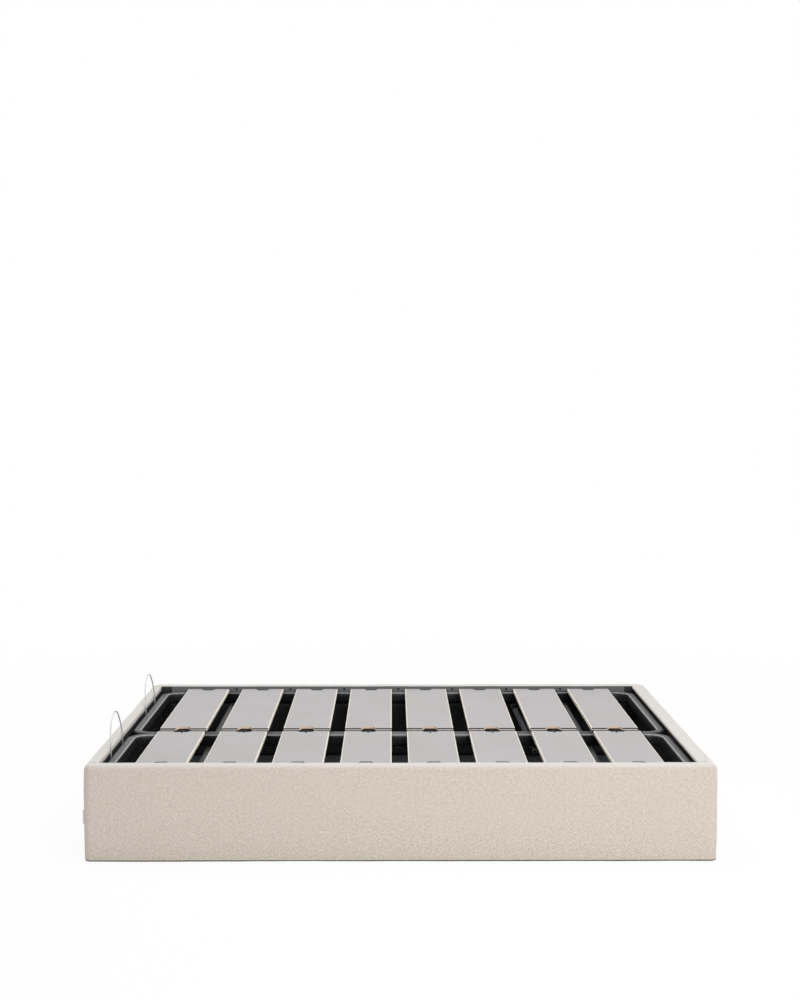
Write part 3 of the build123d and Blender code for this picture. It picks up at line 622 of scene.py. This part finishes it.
# The sawn ends are lacquered black, but for the pale middle veneers.
end_hold, pale_middle, pale_half = 1.0 * MM, 292.2 * MM, 1.7 * MM
slat_ends = (-678 * MM, -166.5 * MM, -115 * MM, 678 * MM)
at_end = [add(tree, "ShaderNodeMath", {0: layers.outputs[1], 1: y, 2: end_hold}, operation="COMPARE")
          for y in slat_ends]
sawn_end = at_end[0]
for one in at_end[1:]:
    sawn_end = add(tree, "ShaderNodeMath", {0: sawn_end.outputs[0], 1: one.outputs[0]}, operation="MAXIMUM")
pale = add(tree, "ShaderNodeMath", {0: layers.outputs[2], 1: pale_middle, 2: pale_half}, operation="COMPARE")
lacquer = add(tree, "ShaderNodeMix", {0: pale.outputs[0], 6: linear("1C1A19"), 7: linear("F4F0EA")},
              data_type="RGBA")
cut = add(tree, "ShaderNodeMix", {0: sawn_end.outputs[0], 6: notched.outputs[2], 7: lacquer.outputs[2]},
          data_type="RGBA")
# The long top edges carry a pale line, partly the bare wood of the eased edge and partly a painted highlight.
edge_line_width, slat_width, slat_pitch, slat_count = 3.3 * MM, 163 * MM, 216.5 * MM, 8
from_gap = add(tree, "ShaderNodeMath", {0: layers.outputs[0], 1: slat_pitch / 2}, operation="PINGPONG")
painted_edge_highlight = add(tree, "ShaderNodeMath", {0: from_gap.outputs[0], 1: (slat_pitch - slat_width) / 2 + edge_line_width},
            operation="LESS_THAN")
# Painted highlight, in part: a pale line along each long top edge.
top_tone = add(tree, "ShaderNodeMix", {0: painted_edge_highlight.outputs[0], 6: grey_stain.outputs[2], 7: linear("DAD4C8")},
               data_type="RGBA")
surface = add(tree, "ShaderNodeMix", {0: laminated.outputs[0], 6: cut.outputs[2], 7: top_tone.outputs[2]},
              data_type="RGBA")
dull = add(tree, "ShaderNodeMapRange", {0: laminated.outputs[0], 3: 0.7, 4: 0.4})
relief = add(tree, "ShaderNodeBump", {"Height": grain.outputs[0], "Strength": 0.1,
                                      "Distance": grain_depth})
skin = add(tree, "ShaderNodeBsdfPrincipled", {"Base Color": surface.outputs[2], "Roughness": dull.outputs[0],
                                              "Normal": relief.outputs[0]})
add(tree, "ShaderNodeOutputMaterial", {"Surface": skin.outputs[0]})
dress([f"slat_{half}_{number}" for half in halves for number in range(1, slat_count + 1)], slat_board)

# Slat clips
# Each is moulded in nylon with a tongue under the slat, and is screwed down to the rail. The near
# half has light grey ones with a soft gleam. The far half's are painted dead matt black at the joint as
# painted shade, and grey at the wall as a painted reflection.
nylon_grain, wall_clips_from = 1.5 * MM, 300 * MM
grey_nylon = moulded_plastic("light grey moulded nylon", "9C9A9B", "A8A6A7", 0.5, nylon_grain)
dress(["slat_clips_near"], grey_nylon)
far_clips_shade_and_reflection, tree = new_material("nylon painted black as shade and grey as reflection")
place = add(tree, "ShaderNodeTexCoord")
axes = add(tree, "ShaderNodeSeparateXYZ", {0: place.outputs["Object"]})
# Painted light: the far clips at the wall take a grey for reflection, those at the joint a black for shade.
at_wall = add(tree, "ShaderNodeMath", {0: axes.outputs[1], 1: wall_clips_from}, operation="GREATER_THAN")
grain = add(tree, "ShaderNodeTexNoise", {"Vector": place.outputs["Object"], "Scale": 1 / nylon_grain})
shade_black = add(tree, "ShaderNodeMix", {0: grain.outputs[0], 6: linear("060606"), 7: linear("0D0D0D")},
            data_type="RGBA")
grey = add(tree, "ShaderNodeMix", {0: grain.outputs[0], 6: linear("5C5C5E"), 7: linear("666668")},
           data_type="RGBA")
tone = add(tree, "ShaderNodeMix", {0: at_wall.outputs[0], 6: shade_black.outputs[2], 7: grey.outputs[2]},
           data_type="RGBA")
dull = add(tree, "ShaderNodeMapRange", {0: at_wall.outputs[0], 3: 0.9, 4: 0.5})
relief = add(tree, "ShaderNodeBump", {"Height": grain.outputs[0], "Strength": 0.25,
                                      "Distance": spark_depth})
skin = add(tree, "ShaderNodeBsdfPrincipled", {"Base Color": tone.outputs[2], "Roughness": dull.outputs[0],
                                              "Specular IOR Level": 0.1, "Normal": relief.outputs[0]})
add(tree, "ShaderNodeOutputMaterial", {"Surface": skin.outputs[0]})
dress(["slat_clips_far"], far_clips_shade_and_reflection)

# Mattress hoops
# Bright zinc-plated spring wire of 4.4 mm, bent to an arch and pushed into the sockets on the foot bow.
# It leans a little to the foot end. Drawn wire keeps fine lines along its length.
wire_radius, arch_radius, hoop_offset = 2.2 * MM, 112 * MM, 374 * MM
hoop_x, arch_z, socket_top, wire_foot = -946 * MM, 294 * MM, 272 * MM, 252 * MM
line_share, dull_range = 0.05, 0.12


def bright_metal(name, dark, light, roughness, streak):
    """Bare or plated metal with fine drawn lines along Z."""
    material, tree = new_material(name)
    place = add(tree, "ShaderNodeTexCoord")
    drawn = add(tree, "ShaderNodeMapping", {"Vector": place.outputs["Object"],
                                            "Scale": (1 / streak, 1 / streak, line_share / streak)})
    lines = add(tree, "ShaderNodeTexNoise", {"Vector": drawn.outputs[0], "Scale": 1.0, "Detail": 3.0})
    tone = add(tree, "ShaderNodeMix", {0: lines.outputs[0], 6: linear(dark), 7: linear(light)},
               data_type="RGBA")
    dull = add(tree, "ShaderNodeMapRange", {0: lines.outputs[0], 3: roughness,
                                            4: roughness + dull_range})
    skin = add(tree, "ShaderNodeBsdfPrincipled", {"Base Color": tone.outputs[2], "Metallic": 1.0,
                                                  "Roughness": dull.outputs[0]})
    add(tree, "ShaderNodeOutputMaterial", {"Surface": skin.outputs[0]})
    return material


zinc_wire = bright_metal("bright zinc wire", "B8B9BB", "CFD0D2", 0.6, 0.8 * MM)
arch_steps, wire_sides, lean = 36, 14, 7 * MM
for half, side in (("near", -1), ("far", 1)):
    middle = side * hoop_offset
    legs = (middle - arch_radius, middle + arch_radius)
    path = [(legs[0], wire_foot), (legs[0], socket_top)]
    path += arc((middle, arch_z), arch_radius, 180, 0, arch_steps)
    path += [(legs[1], socket_top), (legs[1], wire_foot)]
    line = [Vector((hoop_x - lean * smooth_step(socket_top, arch_z + arch_radius, z), y, z)) for y, z in path]
    rings = []
    for k, at in enumerate(line):
        run = (line[min(k + 1, len(line) - 1)] - line[max(k - 1, 0)]).normalized()
        across = Vector((1, 0, 0)) - run * run.x
        across.normalize()
        up = run.cross(across)
        rings.append([at + wire_radius * (across * math.cos(a) + up * math.sin(a))
                      for a in (2 * math.pi * i / wire_sides for i in range(wire_sides))])
    hoop = sweep(f"{half}_wire_hoop", rings, zinc_wire)
    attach(hoop, "platform")
    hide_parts(f"hoop_{half}")

# Lift struts and pivots
# Each gas strut is a steel tube, painted silver with a soft gleam, and a rod that is ground and chromed
# to a mirror. The pivot bolts are plated in dull black zinc.
strut_paint = moulded_plastic("silver painted strut tube", "B3B6BA", "C2C4C8", 0.35, 2.0 * MM)
chrome = bright_metal("ground chromed rod", "D5D6D8", "EEEEEF", 0.08, 1.0 * MM)
black_zinc = bright_metal("black zinc plated screw", "2A2A2B", "3A3A3B", 0.35, 1.0 * MM)
dress([f"strut_tube_{half}" for half in halves], strut_paint)
dress([f"strut_rod_{half}" for half in halves], chrome)
dress(["pivot_bolts"], black_zinc)

# Screws and bolts
# Pan-head screws hold the clips, bars, brackets, ledge and hinge plates. Hexagon bolts hold the crossbars
# and joint plates under the rails, and low domed bolts hold the levers. Those of the clips, bars, hinge
# plates and levers are plated in black zinc, and the others in bright zinc.
pan_head = ((1, 0), (1, 0.35), (0.9, 0.7), (0.68, 0.95), (0.42, 1), (0.36, 1), (0.33, 0.4), (0, 0.4))
hexagon_head = ((1, 0), (1, 0.85), (0.88, 1), (0, 1))
zinc_bolt = bright_metal("zinc plated bolt", "9A9CA0", "B9BBBF", 0.3, 1.0 * MM)


def fastenings(name, places, outward, radius, head, outline, sides, body, plating):
    """Screw or bolt heads at places, each standing out from its seat."""
    out = Vector(outward)
    across = out.orthogonal().normalized()
    up = out.cross(across)
    points, faces = [], []
    for place in places:
        first = len(points)
        for reach, rise in outline[:-1]:
            for i in range(sides):
                a = 2 * math.pi * i / sides
                points.append(Vector(place) + radius * reach * (across * math.cos(a) + up * math.sin(a))
                              + out * head * rise)
        points.append(Vector(place) + out * head * outline[-1][1])
        rings = len(outline) - 1
        for k in range(rings - 1):
            for i in range(sides):
                j = (i + 1) % sides
                faces.append((first + k * sides + i, first + k * sides + j,
                              first + (k + 1) * sides + j, first + (k + 1) * sides + i))
        for i in range(sides):
            j = (i + 1) % sides
            faces.append((first + (rings - 1) * sides + i, first + (rings - 1) * sides + j, len(points) - 1))
        faces.append(tuple(first + i for i in range(sides))[::-1])
    mesh = bpy.data.meshes.new(name)
    mesh.from_pydata([tuple(p) for p in points], [], faces)
    mesh.validate()
    mesh.materials.append(plating)
    piece = bpy.data.objects.new(name, mesh)
    bpy.context.scene.collection.objects.link(piece)
    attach(piece, body)


# Each kind of head has its radius, height, outline and number of sides.
small_screw, bar_screw = (4 * MM, 1.8 * MM, pan_head, 12), (4.5 * MM, 1.8 * MM, pan_head, 12)
plate_screw, lever_bolt = (6 * MM, 2.4 * MM, pan_head, 12), (6 * MM, 2.2 * MM, pan_head, 12)
crossbar_bolt, joint_bolt = (7.5 * MM, 5 * MM, hexagon_head, 6), (6.5 * MM, 4 * MM, hexagon_head, 6)

slat_middles = [slat_pitch * (k - (slat_count - 1) / 2) for k in range(slat_count)]
gap_middles = [slat_pitch * (k - (slat_count - 2) / 2) for k in range(slat_count - 1)]
rail_middles = (-675 * MM, -157 * MM, -124 * MM, 675 * MM)
clip_top, crossbar_foot, plate_foot = 291 * MM, 226 * MM, 243 * MM
fastenings("clip_screws", [(x, y, clip_top) for x in slat_middles for y in rail_middles], (0, 0, 1),
           *small_screw, "platform", black_zinc)
fastenings("crossbar_bolts", [(x, y, crossbar_foot) for x in (-3 * slat_pitch, 3 * slat_pitch)
                              for y in rail_middles], (0, 0, -1), *crossbar_bolt, "platform", zinc_bolt)
fastenings("joint_plate_bolts", [(x, y, plate_foot) for x in (-2 * slat_pitch, 0, 2 * slat_pitch)
                                 for y in rail_middles[1:3]], (0, 0, -1), *joint_bolt, "platform", zinc_bolt)
bar_face, bar_screw_z = 699 * MM, 295 * MM
plate_face, plate_places = 698 * MM, ((760 * MM, 46 * MM), (581.9 * MM, 46 * MM), (700 * MM, 196 * MM))
lever_face, lever_bolt_z, lever_bolt_x = 695 * MM, 270 * MM, (445 * MM, 580 * MM, 770 * MM)
bracket_x, bracket_y, bracket_levels = 949 * MM, 699 * MM, (90 * MM, 174 * MM, 258 * MM)
bracket_ends, bracket_sides = (-930 * MM, 930 * MM), (-680 * MM, 680 * MM)
for half, side in (("near", -1), ("far", 1)):
    inward = (0, -side, 0)
    fastenings(f"{half}_wall_bar_screws", [(x, side * bar_face, bar_screw_z) for x in gap_middles], inward,
               *bar_screw, "base", black_zinc)
    fastenings(f"{half}_hinge_plate_screws", [(x, side * plate_face, z) for x, z in plate_places], inward,
               *plate_screw, "base", black_zinc)
    fastenings(f"{half}_bracket_side_screws", [(x, side * bracket_y, z) for x in bracket_ends
                                               for z in bracket_levels], inward,
               *small_screw, "base", zinc_bolt)
    fastenings(f"{half}_lever_bolts", [(x, side * lever_face, lever_bolt_z) for x in lever_bolt_x],
               (0, side, 0), *lever_bolt, "platform", black_zinc)
for end, side in (("foot", -1), ("head", 1)):
    fastenings(f"{end}_bracket_end_screws", [(side * bracket_x, y, z) for y in bracket_sides
                                             for z in bracket_levels], (-side, 0, 0),
               *small_screw, "base", zinc_bolt)
ledge_face, ledge_screw_z, ledge_screw_y = -949 * MM, 228 * MM, (-540 * MM, -180 * MM, 180 * MM, 540 * MM)
fastenings("foot_ledge_screws", [(ledge_face, y, ledge_screw_z) for y in ledge_screw_y], (1, 0, 0),
           *small_screw, "base", zinc_bolt)
